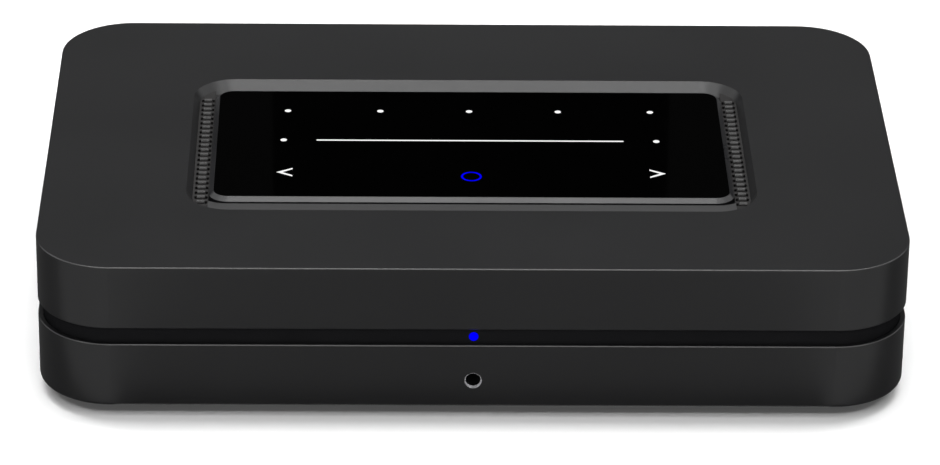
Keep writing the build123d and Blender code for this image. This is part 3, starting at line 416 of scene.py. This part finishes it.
# Cast dark epoxy that passes infrared looks like black glass, with a faint 1 mm ripple.
dark_epoxy = surface("dark_cast_epoxy", "#140e12", roughness=0.15, grain=1, depth=0.002)
dress(dark_epoxy, "infrared_receiver")


# Stage
def plain_plane(name, corners, material):
    """A flat stage piece with four corners."""
    mesh = bpy.data.meshes.new(name)
    mesh.from_pydata(corners, [], [(0, 1, 2, 3)])
    mesh.materials.append(material)
    plane = bpy.data.objects.new(name, mesh)
    bpy.context.scene.collection.objects.link(plane)
    return plane


def background_share(tree):
    """1 for the rays that see the plain background, which are camera, glossy and transmission rays."""
    path = node(tree, "ShaderNodeLightPath")
    seen = path.outputs["Is Camera Ray"]
    for kind in ("Is Glossy Ray", "Is Transmission Ray"):
        either = node(tree, "ShaderNodeMath", {0: seen, 1: path.outputs[kind]}, operation="MAXIMUM")
        seen = either.outputs["Value"]
    return seen


# Matt floor paint keeps the shadow of the unit. A little light of its own brings it up to the white world.
floor_reach = 6.0
floor_roughness = 0.9
floor_lift = 0.03
floor_paint = bpy.data.materials.new("pale_floor_paint")
floor_paint.use_nodes = True
floor_tree = floor_paint.node_tree
floor_shader = floor_tree.nodes["Principled BSDF"]
floor_shader.inputs["Base Color"].default_value = linear("#f5f5f5")
floor_shader.inputs["Roughness"].default_value = floor_roughness
floor_shader.inputs["Specular IOR Level"].default_value = 0.0
floor_shader.inputs["Emission Color"].default_value = white
floor_glow = node(
    floor_tree, "ShaderNodeMath", {0: background_share(floor_tree), 1: floor_lift}, operation="MULTIPLY"
)
floor_tree.links.new(floor_glow.outputs["Value"], floor_shader.inputs["Emission Strength"])
plain_plane(
    "floor",
    [
        (-floor_reach, -floor_reach, 0),
        (floor_reach, -floor_reach, 0),
        (floor_reach, floor_reach, 0),
        (-floor_reach, floor_reach, 0),
    ],
    floor_paint,
)


# Cards that show only in reflections
# The plastic and the glass are so dark that they show little but what they mirror, so the cards behind
# the unit and on the floor round it set how light each face looks.
def card_paint(name, shine):
    """A card that shines evenly by its own light only."""
    paint = bpy.data.materials.new(name)
    paint.use_nodes = True
    shader = paint.node_tree.nodes["Principled BSDF"]
    shader.inputs["Base Color"].default_value = black
    shader.inputs["Specular IOR Level"].default_value = 0.0
    shader.inputs["Emission Color"].default_value = white
    shader.inputs["Emission Strength"].default_value = shine
    return paint


def card(name, corners, paint):
    """A card that shows in reflections, but not to the camera, and lights and shades nothing."""
    plane = plain_plane(name, corners, paint)
    plane.visible_camera = False
    plane.visible_diffuse = False
    plane.visible_shadow = False


def upright(start, end, low, high, away):
    """The corners of a card that stands behind the unit, from one side to the other."""
    return [(start, away, low), (end, away, low), (end, away, high), (start, away, high)]


def lying(*corners):
    """The corners of a card just above the floor."""
    return [(across, along, card_lift) for across, along in corners]


black_card = card_paint("black_card", 0.0)
dark_card = card_paint("dark_grey_card", 0.01)
grey_card = card_paint("grey_card", 0.22)
side_card = card_paint("side_grey_card", 0.1)
pale_card = card_paint("pale_grey_card", 0.5)
low_card = card_paint("low_grey_card", 0.78)

# The screen behind the unit. Its upper part is what the glass mirrors, black in the middle and dark grey
# at the ends. Its lower part has an opening, and the reflector behind that gives the top its sheen.
screen_away = 0.9
screen_half_width = 1.2
screen_middle = 0.25
screen_top = 1.2
black_left = -0.074
black_right = 0.114
opening_half_width = 0.3
reflector_away = 0.92
reflector_half_width = 0.5

# The floor cards. A black strip darkens the foot of the front, the grey one lights the front, the pale
# ones light its corners, and the side ones keep the sides of the case dark.
card_lift = 0.5 * mm
card_reach = 0.6
strip_back = case_front - 2 * mm
strip_front = case_front - 15 * mm
corner_start = case_side - 20 * mm
corner_front = case_front - 7 * mm
side_start = case_side + 2 * mm
side_front = case_front + 18 * mm

sides = (("left", -1), ("right", 1))
card("upper_card", upright(black_left, black_right, screen_middle, screen_top, screen_away), black_card)
card(
    "front_flag",
    lying(
        (-corner_start, strip_front),
        (corner_start, strip_front),
        (corner_start, strip_back),
        (-corner_start, strip_back),
    ),
    black_card,
)
for label, side in sides:
    opening_edge = side * opening_half_width
    screen_edge = side * screen_half_width
    card(label + "_card", upright(opening_edge, screen_edge, 0, screen_middle, screen_away), black_card)
card(
    "left_upper_card",
    upright(-screen_half_width, black_left, screen_middle, screen_top, screen_away),
    dark_card,
)
card(
    "right_upper_card",
    upright(black_right, screen_half_width, screen_middle, screen_top, screen_away),
    dark_card,
)
card(
    "front_reflector",
    lying(
        (-corner_start, -card_reach),
        (corner_start, -card_reach),
        (corner_start, strip_front),
        (-corner_start, strip_front),
    ),
    grey_card,
)
for label, side in sides:
    side_corners = lying(
        (side * corner_start, corner_front),
        (side * card_reach, side_front),
        (side * card_reach, card_reach),
        (side * side_start, card_reach),
    )
    card(label + "_flag", side_corners, side_card)
for label, side in sides:
    front_corners = lying(
        (side * corner_start, -card_reach),
        (side * card_reach, -card_reach),
        (side * card_reach, side_front),
        (side * corner_start, corner_front),
    )
    card(label + "_reflector", front_corners, pale_card)
card(
    "low_reflector",
    upright(-reflector_half_width, reflector_half_width, 0, screen_top, reflector_away),
    low_card,
)

# World, white to the camera and to mirrors, and a faint even light to all else
ambient = 0.1
world = bpy.data.worlds.new("studio")
bpy.context.scene.world = world
world.use_nodes = True
world_tree = world.node_tree
backdrop = world_tree.nodes["Background"]
backdrop.inputs["Color"].default_value = white
level = node(
    world_tree,
    "ShaderNodeMapRange",
    {"Value": background_share(world_tree), "To Min": ambient, "To Max": 1.0},
)
world_tree.links.new(level.outputs["Result"], backdrop.inputs["Strength"])


# Lamps
def soft_box(name, place, size, watts, target):
    """A rectangular lamp aimed at a point."""
    lamp = bpy.data.lights.new(name, "AREA")
    lamp.shape = "RECTANGLE"
    lamp.size, lamp.size_y = size
    lamp.energy = watts
    holder = bpy.data.objects.new(name, lamp)
    bpy.context.scene.collection.objects.link(holder)
    holder.location = place
    holder.rotation_euler = (Vector(target) - Vector(place)).to_track_quat("-Z", "Y").to_euler()


middle = (0.0, 0.0, 0.02)
# Lights the floor and the top from straight above.
soft_box("overhead_box", place=(0.0, 0.09, 1.2), size=(1.1, 0.3), watts=16.5, target=(0.0, 0.09, 0.0))
# Stands high in front, for the bevel of the bezel.
soft_box("key_box", place=(0.0, -0.53, 1.04), size=(0.5, 0.15), watts=1.4, target=middle)
# Stands lower in front, for the leaning back wall of the pocket.
soft_box("wall_box", place=(0.0, -0.84, 0.82), size=(0.7, 0.15), watts=3.3, target=middle)
# Stands near the floor in front, for the front of the case and its edges.
soft_box("front_box", place=(0.0, -1.2, 0.15), size=(0.8, 0.2), watts=3.5, target=middle)
# Stand at the sides, in front for the corners of the pocket and behind for the floor beside the case.
for label, side in sides:
    box_name = label + "_box"
    soft_box(box_name, place=(side * 0.62, -0.55, 0.84), size=(0.5, 0.15), watts=1.2, target=middle)
    soft_box(box_name + "_behind", place=(side * 0.65, 0.45, 0.9), size=(0.4, 0.4), watts=2.5, target=middle)

# Camera at the photograph's place, with its turns in radians
picture_width = 940
sensor_width = 36.0
focal_pixels = 4693.84
nearest_seen = 0.01
camera_place = Vector((-0.024268, -1.105155, 0.582134))
yaw = 0.022232
pitch = -0.473437
roll = 0.014278
forward = Vector((math.sin(yaw) * math.cos(pitch), math.cos(yaw) * math.cos(pitch), math.sin(pitch)))
level_right = Vector((math.cos(yaw), -math.sin(yaw), 0.0))
level_up = level_right.cross(forward)
right = math.cos(roll) * level_right + math.sin(roll) * level_up
up = right.cross(forward)
lens = bpy.data.cameras.new("photo_camera")
lens.sensor_fit = "HORIZONTAL"
lens.sensor_width = sensor_width
lens.lens = focal_pixels * sensor_width / picture_width
lens.clip_start = nearest_seen
camera = bpy.data.objects.new("photo_camera", lens)
bpy.context.scene.collection.objects.link(camera)
turn = Matrix((right, up, -forward)).transposed().to_4x4()
camera.matrix_world = Matrix.Translation(camera_place) @ turn
bpy.context.scene.camera = camera
bpy.context.scene.view_settings.view_transform = "Standard"
